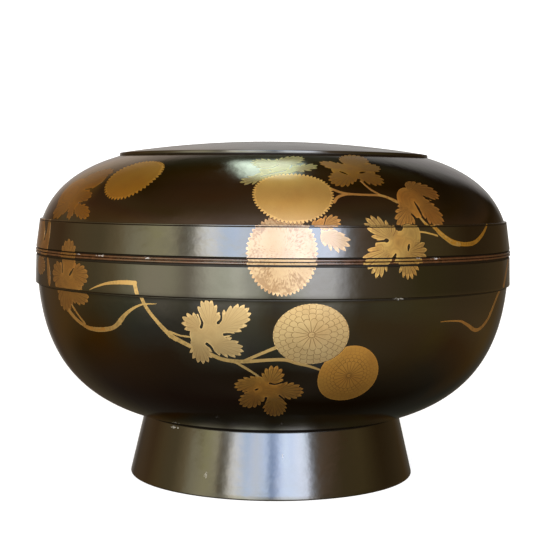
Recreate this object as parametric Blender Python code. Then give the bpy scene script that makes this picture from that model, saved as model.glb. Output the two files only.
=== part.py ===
"""Round lidded food box in lacquered wood: a turned bowl on a tall foot ring, and the domed lid that lifts off it.

Both pieces are hollow and turned, so each is one profile carried round the upright axis. Lengths are in metres, +Z is
up, and the origin is the centre of the circle that the foot stands on.
"""

import bpy
import numpy as np

# Foot ring, a cone that widens downwards
FOOT_HEIGHT = 0.0390
FOOT_BASE_RADIUS = 0.0907
FOOT_NECK_RADIUS = 0.0816
FOOT_WALL = 0.0060
FOOT_EDGE_ROUND = 0.0012

# Bowl between the foot and the underside of its band
BOWL_HEIGHT = 0.0835
BOWL_WALL = 0.0055
BOWL_SWELL = 0.0012  # how much wider the bowl's curve would grow above the band
BOWL_FULLNESS = 3.145  # 2 is an ellipse, and more is squarer

# The two bands, one each side of the seam between bowl and lid
SEAM_RADIUS = 0.1501
LOWER_BAND_HEIGHT = 0.0201
LOWER_BAND_FLARE = 0.0004
LOWER_BAND_STEP = 0.0017
LOWER_BAND_EDGE_ROUND = 0.0010
UPPER_BAND_HEIGHT = 0.0196
UPPER_BAND_TAPER = 0.0022
UPPER_BAND_LEDGE = 0.0016
BEAD_HEIGHT = 0.0014
BEAD_PROUD = 0.0003
GROOVE_WIDTH = 0.0004
GROOVE_DEPTH = 0.0004

# Flange that stands up inside the lid and keeps it centred
FLANGE_HEIGHT = 0.0080
FLANGE_WALL = 0.0026
LID_SIDE_CLEARANCE = 0.0003
LID_SEAT_CLEARANCE = 0.0003
FLANGE_TOP_CLEARANCE = 0.0010
FLANGE_RECESS_SLOPE = 0.0080  # height over which the recess for the flange runs out into the dome

# Dome of the lid, up to the small upright step round its crown
DOME_HEIGHT = 0.0394
DOME_SWELL = 0.0039
DOME_FULLNESS = 2.978
LID_WALL = 0.0045

# Crown panel, a shallow cap on an upright step
CROWN_RADIUS = 0.09815
CROWN_STEP = 0.0018
CROWN_RISE = 0.0081

# Facets
TURNS = 64
CURVE_POINTS = 10
CROWN_POINTS = 3
ON_AXIS = 1e-5

BLACK_LACQUER = (0.013, 0.009, 0.005, 1.0)
LACQUER_ROUGHNESS = 0.12


def swelling_curve(outer, inner, swell, fullness, outer_z, inner_z):
    """Centre, half width, half height and power of the superellipse from (outer, outer_z) in to (inner, inner_z)."""
    half_width = outer + swell

    def share(radius):
        return (1 - (radius / half_width) ** fullness) ** (1 / fullness)

    half_height = (inner_z - outer_z) / (share(inner) - share(outer))
    centre_z = outer_z - half_height * share(outer)
    return centre_z, half_width, half_height, fullness


def curve_points(curve, radii, wall=0.0):
    """Points of the curve at these radii, set in from it by the wall along its normal."""
    centre_z, half_width, half_height, fullness = curve
    radii = np.asarray(radii)
    across = radii / half_width
    up = (1 - across**fullness) ** (1 / fullness)
    points = np.stack([radii, centre_z + half_height * up], axis=1)
    normal = np.stack([across ** (fullness - 1) / half_width, up ** (fullness - 1) / half_height], axis=1)
    normal /= np.linalg.norm(normal, axis=1, keepdims=True)
    return points - wall * normal


def spaced_radii(curve, outer, inner, count):
    """Radii that cut the curve from outer to inner into steps of equal angle about its centre."""
    centre_z, half_width, half_height, fullness = curve
    ends = curve_points(curve, (outer, inner))
    angles = np.arctan2((ends[:, 1] - centre_z) / half_height, ends[:, 0] / half_width)
    turn = np.linspace(angles[0], angles[1], count)
    reach = (np.cos(turn) ** fullness + np.sin(turn) ** fullness) ** (1 / fullness)
    return half_width * np.cos(turn) / reach


def radius_at(curve, height):
    """Radius of the curve at this height."""
    centre_z, half_width, half_height, fullness = curve
    return half_width * (1 - ((height - centre_z) / half_height) ** fullness) ** (1 / fullness)


def rounded_corner(radius, z, size, toward_r, toward_z):
    """Three points of a quarter round in place of the corner at (radius, z), entered along r and left along z."""
    turn = np.radians((0, 45, 90))
    r = radius + toward_r * size * (1 - np.sin(turn))
    return np.stack([r, z + toward_z * size * (1 - np.cos(turn))], axis=1)


def levels():
    """Heights of the foot joint, band underside, seam, ledge, crown step and crown, from the floor up."""
    band_underside = FOOT_HEIGHT + BOWL_HEIGHT
    seam = band_underside + LOWER_BAND_HEIGHT
    ledge = seam + UPPER_BAND_HEIGHT
    step = ledge + DOME_HEIGHT
    return FOOT_HEIGHT, band_underside, seam, ledge, step, step + CROWN_STEP


def bowl_shape():
    """The bowl's outer curve and its radius under the band."""
    foot_joint, band_underside, *_ = levels()
    top_radius = SEAM_RADIUS + LOWER_BAND_FLARE - LOWER_BAND_STEP
    curve = swelling_curve(top_radius, FOOT_NECK_RADIUS, BOWL_SWELL, BOWL_FULLNESS, band_underside, foot_joint)
    return curve, top_radius


def flange_radii():
    """Inner and outer radius of the flange, which carries on the bowl's inner wall."""
    curve, top_radius = bowl_shape()
    inner = curve_points(curve, (top_radius,), BOWL_WALL)[0, 0]
    return inner, inner + FLANGE_WALL


def body_profile():
    """From the middle of the bowl's floor up the inside, over the flange and rim, down outside and under the foot."""
    _, band_underside, seam, *_ = levels()
    curve, top_radius = bowl_shape()
    flange_inner, flange_outer = flange_radii()
    rim = seam - LID_SEAT_CLEARANCE / 2
    bead = rim - BEAD_HEIGHT
    groove = bead - GROOVE_WIDTH
    band_bottom = SEAM_RADIUS + LOWER_BAND_FLARE
    radii = spaced_radii(curve, top_radius, FOOT_NECK_RADIUS, CURVE_POINTS)
    floor_radii = np.array((FOOT_NECK_RADIUS / 2, ON_AXIS))
    foot_slope = (FOOT_BASE_RADIUS - FOOT_NECK_RADIUS) / FOOT_HEIGHT
    foot_inner_top = FOOT_NECK_RADIUS - FOOT_WALL
    under = curve_points(curve, (foot_inner_top, foot_inner_top / 2, ON_AXIS))
    inside = curve_points(curve, np.concatenate([radii, floor_radii])[::-1], BOWL_WALL)
    inside[0, 0] = 0.0
    under[-1, 0] = 0.0
    foot_edge = FOOT_BASE_RADIUS - FOOT_EDGE_ROUND * foot_slope
    return [
        *inside,
        (flange_inner, seam + FLANGE_HEIGHT),
        (flange_outer, seam + FLANGE_HEIGHT),
        (flange_outer, rim),
        (SEAM_RADIUS, rim),
        (SEAM_RADIUS + BEAD_PROUD, rim - BEAD_HEIGHT / 4),
        (SEAM_RADIUS + BEAD_PROUD, bead + BEAD_HEIGHT / 4),
        (SEAM_RADIUS - GROOVE_DEPTH, bead),
        (SEAM_RADIUS - GROOVE_DEPTH, groove),
        (SEAM_RADIUS, groove - GROOVE_WIDTH),
        *rounded_corner(band_bottom, band_underside, LOWER_BAND_EDGE_ROUND, -1, 1)[::-1],
        *curve_points(curve, radii),
        *rounded_corner(foot_edge, 0.0, FOOT_EDGE_ROUND, -1, 1)[::-1],
        (FOOT_BASE_RADIUS - FOOT_WALL, 0.0),
        *under,
    ]


def crown_cap(radii, base):
    """Points of the crown's parabola, which rises from its edge to the axis over this base."""
    radii = np.asarray(radii)
    return np.stack([radii, base + CROWN_RISE * (1 - (radii / CROWN_RADIUS) ** 2)], axis=1)


def lid_profile():
    """From the middle of the crown over the outside, round the lower edge and up the inside to the axis."""
    *_, seam, ledge, step, crown = levels()
    band_top = SEAM_RADIUS - UPPER_BAND_TAPER
    dome_radius = band_top - UPPER_BAND_LEDGE
    curve = swelling_curve(dome_radius, CROWN_RADIUS, DOME_SWELL, DOME_FULLNESS, ledge, step)
    radii = spaced_radii(curve, dome_radius, CROWN_RADIUS, CURVE_POINTS)
    lower_edge = seam + LID_SEAT_CLEARANCE / 2
    bead = lower_edge + BEAD_HEIGHT
    groove = bead + GROOVE_WIDTH
    recess_radius = flange_radii()[1] + LID_SIDE_CLEARANCE
    recess_top = seam + FLANGE_HEIGHT + FLANGE_TOP_CLEARANCE
    inner_start = radius_at(curve, recess_top + FLANGE_RECESS_SLOPE)
    inside = curve_points(curve, spaced_radii(curve, inner_start, CROWN_RADIUS, CURVE_POINTS), LID_WALL)
    crown_radii = np.linspace(0.0, CROWN_RADIUS, CROWN_POINTS + 1)
    inner_crown = crown_cap(crown_radii[-2::-1], crown - CROWN_STEP - LID_WALL)
    return [
        *crown_cap(crown_radii, crown),
        *curve_points(curve, radii[::-1]),
        (band_top, ledge),
        (SEAM_RADIUS, groove + GROOVE_WIDTH),
        (SEAM_RADIUS - GROOVE_DEPTH, groove),
        (SEAM_RADIUS - GROOVE_DEPTH, bead),
        (SEAM_RADIUS + BEAD_PROUD, bead - BEAD_HEIGHT / 4),
        (SEAM_RADIUS + BEAD_PROUD, lower_edge + BEAD_HEIGHT / 4),
        (SEAM_RADIUS, lower_edge),
        (recess_radius, lower_edge),
        (recess_radius, recess_top),
        *inside,
        *inner_crown,
    ]


def lacquer():
    """Black lacquer with a brown cast, polished to a gloss."""
    material = bpy.data.materials.new("black_lacquer")
    material.use_nodes = True
    shader = material.node_tree.nodes["Principled BSDF"]
    shader.inputs["Base Color"].default_value = BLACK_LACQUER
    shader.inputs["Metallic"].default_value = 0.0
    shader.inputs["Roughness"].default_value = LACQUER_ROUGHNESS
    return material


def turned(name, profile, material):
    """A solid turned from its profile by a Screw modifier, smooth but for its crisp edges."""
    mesh = bpy.data.meshes.new(name)
    edges = [(i, i + 1) for i in range(len(profile) - 1)]
    mesh.from_pydata([(float(r), 0.0, float(z)) for r, z in profile], edges, [])
    mesh.materials.append(material)
    piece = bpy.data.objects.new(name, mesh)
    bpy.context.collection.objects.link(piece)
    screw = piece.modifiers.new("turning", "SCREW")
    screw.steps = TURNS
    screw.render_steps = TURNS
    screw.use_merge_vertices = True
    screw.merge_threshold = ON_AXIS
    screw.use_smooth_shade = True
    return piece


def main():
    for old in list(bpy.data.objects):
        bpy.data.objects.remove(old)
    finish = lacquer()
    turned("body", body_profile(), finish)
    turned("lid", lid_profile(), finish)


if __name__ == "__main__":
    main()
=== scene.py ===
"""Round lacquer food box with sprinkled gold chrysanthemum sprays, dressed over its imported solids, and its studio.

The turned body and lid replace their plain solids. The gold lies on them as thin films: flowers, leaves and stems,
each drawn in millimetres on the outside of the box, unrolled from the seam.
"""

import functools
import math

import bpy
import numpy as np
from mathutils import Matrix, Vector
from mathutils.geometry import delaunay_2d_cdt


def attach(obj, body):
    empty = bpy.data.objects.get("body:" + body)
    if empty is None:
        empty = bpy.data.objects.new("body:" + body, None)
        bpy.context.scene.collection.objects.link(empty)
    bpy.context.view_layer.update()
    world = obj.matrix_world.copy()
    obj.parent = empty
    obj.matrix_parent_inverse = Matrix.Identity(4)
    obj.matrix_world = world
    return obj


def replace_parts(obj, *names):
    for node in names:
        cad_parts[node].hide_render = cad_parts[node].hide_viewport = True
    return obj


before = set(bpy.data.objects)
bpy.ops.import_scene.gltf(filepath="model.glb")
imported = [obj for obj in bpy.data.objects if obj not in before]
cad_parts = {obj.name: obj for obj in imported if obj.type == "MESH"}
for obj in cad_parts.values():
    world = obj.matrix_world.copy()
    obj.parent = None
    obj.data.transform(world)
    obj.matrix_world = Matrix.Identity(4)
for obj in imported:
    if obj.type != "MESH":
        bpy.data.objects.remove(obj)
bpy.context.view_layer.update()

bl_info = {
    "name": "Round Lacquer Box",
    "version": (1, 0, 0),
    "blender": (4, 5, 0),
    "location": "3D View > Sidebar > Lacquer Box",
    "description": "A round lidded lacquer box with sprinkled gold chrysanthemum sprays, in a pale studio",
    "category": "Object",
}

MM = 0.001
ON_AXIS = 1e-6


def linear(code):
    """Linear RGB of an sRGB hex colour such as "c08040"."""
    srgb = np.array([int(code[i : i + 2], 16) for i in (0, 2, 4)]) / 255
    return tuple(np.where(srgb < 0.04045, srgb / 12.92, ((srgb + 0.055) / 1.055) ** 2.4).tolist())


def length(name, default, description):
    return bpy.props.FloatProperty(
        name=name, description=description, default=default, min=0.0, soft_max=0.5, precision=4, unit="LENGTH"
    )


def colour(name, code, description):
    return bpy.props.FloatVectorProperty(
        name=name, description=description, default=linear(code), size=3, min=0.0, max=1.0, subtype="COLOR"
    )


class BoxSizes(bpy.types.PropertyGroup):
    """Turned sizes of the box, the same as its solids have."""

    foot_height: length("Foot height", 0.0390, "From the table to the bowl")
    foot_base: length("Foot base radius", 0.0907, "Outer radius of the foot where it stands")
    foot_neck: length("Foot neck radius", 0.0816, "Outer radius of the foot under the bowl")
    foot_wall: length("Foot wall", 0.0060, "Thickness of the foot ring")
    bowl_height: length("Bowl height", 0.0835, "From the foot to the underside of the band")
    bowl_wall: length("Bowl wall", 0.0055, "Thickness of the bowl")
    bowl_swell: length("Bowl swell", 0.0012, "How much wider the bowl's curve would grow above the band")
    seam_radius: length("Seam radius", 0.1501, "Radius of both bands at the seam")
    lower_band: length("Lower band", 0.0201, "Height of the band under the seam")
    lower_flare: length("Lower band flare", 0.0004, "How much wider the lower band is at its bottom")
    lower_step: length("Lower band step", 0.0017, "How far the lower band stands out over the bowl")
    upper_band: length("Upper band", 0.0196, "Height of the band over the seam")
    upper_taper: length("Upper band taper", 0.0022, "How much narrower the upper band is at its top")
    upper_ledge: length("Upper band ledge", 0.0016, "Width of the ledge over the upper band")
    bead: length("Bead", 0.0014, "Height of the bead on each side of the seam")
    bead_proud: length("Bead relief", 0.0003, "How far a bead stands out")
    groove: length("Groove", 0.0004, "Width and depth of the groove behind each bead")
    clearance: length("Clearance", 0.0003, "Gap between lid and body")
    flange_height: length("Flange height", 0.0080, "How far the flange stands up inside the lid")
    flange_wall: length("Flange wall", 0.0026, "Thickness of the flange")
    dome_height: length("Dome height", 0.0394, "From the ledge to the crown step")
    dome_swell: length("Dome swell", 0.0039, "How much wider the dome's curve would grow below the ledge")
    lid_wall: length("Lid wall", 0.0045, "Thickness of the lid")
    crown_radius: length("Crown radius", 0.09815, "Radius of the raised crown")
    crown_step: length("Crown step", 0.0018, "Height of the upright step round the crown")
    crown_rise: length("Crown rise", 0.0081, "How much the crown rises to its middle")
    film: length("Gold film", 0.00010, "How far the gold stands on the lacquer")


class BoxColours(bpy.types.PropertyGroup):
    """Colours of the lacquer and the gold."""

    lacquer: colour("Lacquer", "0c0601", "Polished black lacquer with its brown cast")
    lacquer_deep: colour("Deep lacquer", "070301", "The darker clouds in the lacquer")
    worn: colour("Worn lacquer", "4b2b18", "Brown where a bead is rubbed thin")
    chip: colour("Bare ground", "9a9692", "Pale ground where the lacquer has chipped")
    silvered: colour("Silvered gold", "868454", "Gold powder with much silver in it, which has gone a little green")
    cream: colour("Cream gold", "836c4e", "Gold powder with some silver in it, much rubbed")
    pale: colour("Pale gold", "a38c64", "Gold powder with a little silver in it")
    straw: colour("Straw gold", "a98a4b", "Plain gold powder")
    wheat: colour("Wheat gold", "a1864b", "Plain gold powder, rubbed a little")
    sand: colour("Sand gold", "957c50", "Gold powder of the thin stems, rubbed and a little dull")
    orange: colour("Orange gold", "ad803b", "Gold powder with copper in it")
    honey: colour("Honey gold", "9e7628", "Gold powder that lies a little thin over the brown ground")
    amber: colour("Amber gold", "926d39", "Gold powder that lies thin over the brown ground")
    brown: colour("Brown gold", "865d0c", "Gold powder so thin that much of the brown ground shows")
    gold_worn: colour("Worn gold", "5f4226", "Gold rubbed through to the brown under it")


BOWL_FULLNESS = 3.145  # 2 is an ellipse, and more is squarer
DOME_FULLNESS = 2.978
TURNS = 240
ROUND_POINTS = 6
STEP = 2.0 * MM  # longest step along a turned profile
RUBBED_REACH = 0.45 * MM  # over which the wear of an edge fades out
SHADE_REACH = 0.3 * MM  # over which the painted shade of a groove fades out
SHADED_CORNER = 10 * MM  # how far out from the foot's neck the bowl gets painted shade, dull and nearly without reflection
GRID = 0.35  # mm between the samples that an outline is found on
FILL = 2.4  # mm between the points inside an outline
UNDER_LACQUER = -0.08  # mm, where the underside of a gold film lies
BARE_LINE = 0.35  # mm of bare lacquer that parts a flower or leaf from one that lies over it
STEM_OVERLAP = 0.15  # mm that a stem runs on under its flower or leaf
STEM_REACH = (28.0, 60.0)  # degrees and mm within which flowers and leaves can lie over a stem
STEM_MARGIN = 3.0  # mm to spare round the points of a stem


def feed(node, inputs):
    """Gives a node's inputs, by name or number, a value or the output that feeds them. None leaves one as it is."""
    for key, value in inputs:
        if isinstance(value, bpy.types.NodeSocket):
            node.id_data.links.new(value, node.inputs[key])
        elif value is not None:
            node.inputs[key].default_value = value


def add_node(tree, kind, settings, *inputs):
    """Adds one shader node with its settings, or its operation alone, feeds its inputs in order and returns its
    outputs."""
    node = tree.nodes.new("ShaderNode" + kind)
    for key, value in (settings if isinstance(settings, dict) else {"operation": settings}).items():
        setattr(node, key, value)
    feed(node, enumerate(inputs))
    return node.outputs


# Settings of nodes that come up again, and the five inputs of a Mix node between its share and its two colours
COLOUR = {"data_type": "RGBA"}
CLAMPED = {"operation": "MULTIPLY", "use_clamp": True}
SMOOTH = {"interpolation_type": "SMOOTHSTEP"}
SKIP = (None,) * 5


# Turned shapes

def swelling_curve(outer, inner, swell, fullness, outer_z, inner_z):
    """Centre, half width, half height and power of the superellipse from (outer, outer_z) in to (inner, inner_z)."""
    half_width = outer + swell
    share_outer, share_inner = (1 - (np.array((outer, inner)) / half_width) ** fullness) ** (1 / fullness)
    half_height = (inner_z - outer_z) / (share_inner - share_outer)
    return outer_z - half_height * share_outer, half_width, half_height, fullness


def curve_points(curve, outer, inner, count, wall=0.0):
    """Points of a superellipse |r/a|^n + |z/b|^n = 1 between two radii, by equal angles, set in by the wall."""
    centre_z, half_width, half_height, fullness = curve
    ends = np.array((outer, inner)) / half_width
    angles = np.arctan2((1 - ends**fullness) ** (1 / fullness), ends)
    turn = np.linspace(angles[0], angles[1], count)
    reach = (np.cos(turn) ** fullness + np.sin(turn) ** fullness) ** (1 / fullness)
    across, up = np.cos(turn) / reach, np.sin(turn) / reach
    points = np.stack([half_width * across, centre_z + half_height * up], axis=1)
    normal = np.stack([across ** (fullness - 1) / half_width, up ** (fullness - 1) / half_height], axis=1)
    normal /= np.linalg.norm(normal, axis=1, keepdims=True)
    return points - wall * normal


class Shape:
    """Heights and curves that follow from the sizes."""

    def __init__(self, s):
        self.s = s
        self.underside = s.foot_height + s.bowl_height
        self.seam = self.underside + s.lower_band
        self.ledge = self.seam + s.upper_band
        self.step = self.ledge + s.dome_height
        self.crown = self.step + s.crown_step
        self.band_bottom = s.seam_radius + s.lower_flare
        self.bowl_top = self.band_bottom - s.lower_step
        self.band_top = s.seam_radius - s.upper_taper
        self.dome_base = self.band_top - s.upper_ledge
        self.bowl = swelling_curve(
            self.bowl_top, s.foot_neck, s.bowl_swell, BOWL_FULLNESS, self.underside, s.foot_height
        )
        self.dome = swelling_curve(
            self.dome_base, s.crown_radius, s.dome_swell, DOME_FULLNESS, self.ledge, self.step
        )
        self.flange_inner = curve_points(self.bowl, self.bowl_top, s.foot_neck, 2, s.bowl_wall)[0, 0]


def run(points, wear_and_shade=0):
    """Profile rows of a smooth run of points."""
    return [(r, z, 0, wear_and_shade) for r, z in points]


def cornered(rows):
    """A profile from rows of (r, z, round, wear): each corner with a round becomes a quadratic arc that starts and
    ends that far from it. Returns the points and the wear of each, 1 where rubbed and -1 where shade is painted."""
    rows = np.asarray(rows, float)
    points, worn = [], []
    share = np.linspace(0, 1, ROUND_POINTS)[:, None]
    for i, (r, z, size, wear_and_shade) in enumerate(rows):
        here = np.array((r, z))
        if not size:
            points.append(here[None])
            worn.append([wear_and_shade])
            continue
        before, after = rows[i - 1, :2] - here, rows[i + 1, :2] - here
        reach = min(size, 0.45 * np.hypot(*before), 0.45 * np.hypot(*after))
        start, end = here + reach * before / np.hypot(*before), here + reach * after / np.hypot(*after)
        points.append((1 - share) ** 2 * start + 2 * share * (1 - share) * here + share**2 * end)
        worn.append([wear_and_shade] * ROUND_POINTS)
    return np.vstack(points), np.concatenate(worn)


def fine_steps(points, worn):
    """The profile with its long steps cut evenly, and the wear of each point: exp(-(distance / reach)^2) from the
    nearest rubbed edge along the profile, less the same for the nearest groove or corner with painted shade."""
    reach = np.concatenate([[0], np.cumsum(np.hypot(*np.diff(points, axis=0).T))])
    counts = np.maximum(1, np.ceil(np.diff(reach) / STEP)).astype(int)
    stops = [np.linspace(a, b, n, endpoint=False) for a, b, n in zip(reach[:-1], reach[1:], counts)]
    # Four more points beside each end of a run of wear or of painted shade let it fade smoothly
    ends = (worn != 0) & ((worn != np.roll(worn, 1)) | (worn != np.roll(worn, -1)))
    near = (reach[ends][:, None] + np.array((-0.7, -0.35, 0.35, 0.7)) * MM).ravel()
    stops = np.unique(np.concatenate([*stops, reach[-1:], near[(near > 0) & (near < reach[-1])]]).round(5))
    rubbed = np.abs(stops[:, None] - reach[worn > 0]).min(1) / RUBBED_REACH
    painted_shade = np.abs(stops[:, None] - reach[worn < 0]).min(1) / SHADE_REACH
    fine = np.stack([np.interp(stops, reach, points[:, 0]), np.interp(stops, reach, points[:, 1])], axis=1)
    fine[[0, -1], 0] = 0.0
    return fine, np.exp(-(rubbed**2)) - np.exp(-(painted_shade**2))


def revolved(rings, turns):
    """Points (r cos t, r sin t, z) of each ring (r, z) at even turns t, and the quads from one ring to the next."""
    turn = np.linspace(0, 2 * np.pi, turns, endpoint=False)
    grid = np.empty((len(rings), turns, 3))
    grid[..., 0] = rings[:, :1] * np.cos(turn)
    grid[..., 1] = rings[:, :1] * np.sin(turn)
    grid[..., 2] = rings[:, 1:]
    i, j = np.meshgrid(np.arange(len(rings) - 1), np.arange(turns), indexing="ij")
    k = (j + 1) % turns
    quads = np.stack([i * turns + j, (i + 1) * turns + j, (i + 1) * turns + k, i * turns + k], axis=-1)
    return grid.reshape(-1, 3), quads.reshape(-1, 4)


def turned(name, profile, wear_and_shade, material):
    """Closed solid of revolution with one point at each pole. The profile runs with the solid on its right, so the
    faces point outwards."""
    points, quads = revolved(profile[1:-1], TURNS)
    poles = [(0, 0, profile[0, 1]), (0, 0, profile[-1, 1])]
    j, k = np.arange(TURNS), (np.arange(TURNS) + 1) % TURNS
    count, last = len(points), len(points) - TURNS
    first = np.stack([np.full(TURNS, count), j, k], axis=1)
    end = np.stack([np.full(TURNS, count + 1), last + k, last + j], axis=1)
    mesh = bpy.data.meshes.new(name)
    mesh.from_pydata(points.tolist() + poles, [], quads.tolist() + first.tolist() + end.tolist())
    # The worn attribute holds the wear of each ring, and painted shade as negative values
    worn = mesh.attributes.new("worn", "FLOAT", "POINT")
    worn.data.foreach_set("value", np.concatenate([np.repeat(wear_and_shade[1:-1], TURNS), [0, 0]]))
    return placed(name, mesh, material, 30)


def placed(name, mesh, material, sharp):
    """Links the mesh as a piece of the box, smooth but for edges sharper than this angle in degrees."""
    mesh.materials.append(material)
    mesh.polygons.foreach_set("use_smooth", np.ones(len(mesh.polygons), bool))
    mesh.set_sharp_from_angle(angle=math.radians(sharp))
    mesh.update()
    piece = bpy.data.objects.new(name, mesh)
    bpy.context.scene.collection.objects.link(piece)
    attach(piece, "root")
    return piece


def body_profile(shape):
    """From the middle of the bowl's floor up the inside, over the flange and rim, down outside and under the foot."""
    s = shape.s
    rim = shape.seam - s.clearance / 2
    bead, top = rim - s.bead, s.seam_radius + s.bead_proud
    groove, groove_radius = bead - s.groove, s.seam_radius - s.groove
    shade_start = s.foot_neck + SHADED_CORNER
    flange_outer, flange_top = shape.flange_inner + s.flange_wall, shape.seam + s.flange_height
    slope = (s.foot_base - s.foot_neck) / s.foot_height
    return [
        *run(curve_points(shape.bowl, s.foot_neck, ON_AXIS, 24, s.bowl_wall)[:0:-1]),
        *run(curve_points(shape.bowl, shape.bowl_top, s.foot_neck, 40, s.bowl_wall)[::-1]),
        (shape.flange_inner, flange_top, 0.6 * MM, 0),
        (flange_outer, flange_top, 0.6 * MM, 0),
        (flange_outer, rim, 0, 0),
        (s.seam_radius, rim, 0.15 * MM, 0),
        (top, rim - 0.35 * MM, 0.2 * MM, 1),
        (top, bead + 0.35 * MM, 0.2 * MM, 1),
        # Rows with -1 get painted shade: here the groove under the bead
        (groove_radius, bead, 0, -1),
        (groove_radius, groove - 0.1 * MM, 0, -1),
        (groove_radius, groove - 0.7 * MM, 0, -1),
        (s.seam_radius, groove - 0.9 * MM, 0.1 * MM, 0),
        (shape.band_bottom, shape.underside, 0.8 * MM, 0),
        # Painted shade in the corner under the band's step
        (shape.bowl_top, shape.underside, 0, -1),
        (shape.bowl_top, shape.underside - 0.7 * MM, 0, -1),
        *run(curve_points(shape.bowl, shape.bowl_top, shade_start, 60)[1:]),
        # Painted shade on the bowl round the foot's neck and on the top of the foot, where the bowl shades it
        *run(curve_points(shape.bowl, shade_start, s.foot_neck, 24)[1:], -1),
        (s.foot_neck + slope * 0.2 * MM, s.foot_height - 0.2 * MM, 0, -1),
        (s.foot_neck + slope * 0.4 * MM, s.foot_height - 0.4 * MM, 0, -1),
        (s.foot_base, 0.0, 1.1 * MM, 0),
        (s.foot_base - s.foot_wall, 0.0, 0.6 * MM, 0),
        *run(curve_points(shape.bowl, s.foot_neck - s.foot_wall, ON_AXIS, 24)),
    ]


def lid_profile(shape):
    """From the middle of the crown over the outside, round the lower edge and up the inside to the axis."""
    s = shape.s
    edge = shape.seam + s.clearance / 2
    bead, top = edge + s.bead, s.seam_radius + s.bead_proud
    groove, groove_radius = bead + s.groove, s.seam_radius - s.groove
    recess, recess_top = shape.flange_inner + s.flange_wall + s.clearance, shape.seam + s.flange_height + 1.0 * MM
    # The recess for the flange runs out into the dome over 8 mm
    centre_z, half_width, half_height, fullness = shape.dome
    start = half_width * (1 - ((recess_top + 8.0 * MM - centre_z) / half_height) ** fullness) ** (1 / fullness)
    radii = np.linspace(0, s.crown_radius, 40)
    crown = np.stack([radii, shape.crown + s.crown_rise * (1 - (radii / s.crown_radius) ** 2)], axis=1)
    return [
        *run(crown[:-1]),
        (s.crown_radius, shape.crown, 0.35 * MM, 0),
        # Painted shade at the foot of the crown's step
        (s.crown_radius, shape.step, 0, -1),
        *run(curve_points(shape.dome, shape.dome_base, s.crown_radius, 60)[::-1][1:]),
        (shape.band_top, shape.ledge, 0.3 * MM, 0),
        (shape.band_top + 0.05 * MM, shape.ledge - 0.6 * MM, 0, 0),
        # Painted shade in a thin line under the ledge
        (shape.band_top - 0.12 * MM, shape.ledge - 0.9 * MM, 0, -1),
        (shape.band_top + 0.12 * MM, shape.ledge - 1.2 * MM, 0, 0),
        (s.seam_radius, groove + 0.5 * MM, 0.15 * MM, 0),
        # Painted shade in the groove over the bead
        (groove_radius, groove + 0.2 * MM, 0, -1),
        (groove_radius, groove - 0.1 * MM, 0, -1),
        (groove_radius, bead, 0, -1),
        (top, bead - 0.35 * MM, 0.2 * MM, 1),
        (top, edge + 0.35 * MM, 0.2 * MM, 1),
        (s.seam_radius, edge, 0.15 * MM, 0),
        (recess, edge, 0.3 * MM, 0),
        (recess, recess_top, 0, 0),
        *run(curve_points(shape.dome, start, s.crown_radius, 40, s.lid_wall)),
        *run(crown[-2::-1] - (0, s.crown_step + s.lid_wall)),
    ]


# The outside unrolled: v in mm from the seam, up the lid and down the body, and x in mm round the box

class Outside:
    """The outside as (r, z) over v, and the stretches of v that gold can lie on: beads, bands, ledge and curves, a
    fraction of a millimetre clear of the grooves and corners between them."""

    def __init__(self, shape):
        s = shape.s
        rim, edge = shape.seam - s.clearance / 2, shape.seam + s.clearance / 2
        proud = s.seam_radius + s.bead_proud
        lid = [(proud, edge), (proud, edge + s.bead - 0.2 * MM), (s.seam_radius, edge + s.bead + 2 * s.groove),
               (shape.band_top, shape.ledge), (shape.dome_base, shape.ledge)]
        body = [(proud, rim), (proud, rim - s.bead + 0.2 * MM), (s.seam_radius, rim - s.bead - 2 * s.groove),
                (shape.band_bottom, shape.underside), (shape.bowl_top, shape.underside)]
        up = np.vstack([lid, curve_points(shape.dome, shape.dome_base, s.crown_radius, 300)[1:]]) / MM
        down = curve_points(shape.bowl, shape.bowl_top, s.foot_neck, 300)[1:]
        down = np.vstack([body, down, [(s.foot_base, 0.0)]]) / MM
        rise, drop = (np.concatenate([[0], np.cumsum(np.hypot(*np.diff(way, axis=0).T))]) for way in (up, down))
        self.v = np.concatenate([-drop[::-1], rise + 1e-6])
        self.r = np.concatenate([down[::-1, 0], up[:, 0]])
        self.z = np.concatenate([down[::-1, 1], up[:, 1]])
        self.parts = {
            "lid": [(0.2, rise[1] + 0.1), (rise[2] - 0.15, rise[3] - 1.25), (rise[3] - 0.6, rise[3] - 0.2),
                    (rise[3] + 0.2, rise[4] - 0.1), (rise[4] + 0.15, rise[-1] - 0.3)],
            "body": [(-0.1 - drop[1], -0.2), (0.9 - drop[3], -0.35 - drop[2]), (1.0 - drop[-2], -1.0 - drop[4])],
        }

    def radius(self, v):
        return np.interp(v, self.v, self.r)

    def point(self, turn, v, lift):
        """The outside's point at turn t and height v, lifted along its normal: (r sin t, -r cos t, z), where the
        front, t = 0, faces -Y."""
        r0, r1 = np.interp(v - 0.04, self.v, self.r), np.interp(v + 0.04, self.v, self.r)
        z0, z1 = np.interp(v - 0.04, self.v, self.z), np.interp(v + 0.04, self.v, self.z)
        long = np.hypot(r1 - r0, z1 - z0)
        r = (r0 + r1) / 2 + lift * (z1 - z0) / long
        z = (z0 + z1) / 2 - lift * (r1 - r0) / long
        return np.stack([r * np.sin(turn), -r * np.cos(turn), z], axis=-1) * MM


# Drawn shapes: each function gives the depth in mm inside a shape at points (x, y), negative outside it

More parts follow.
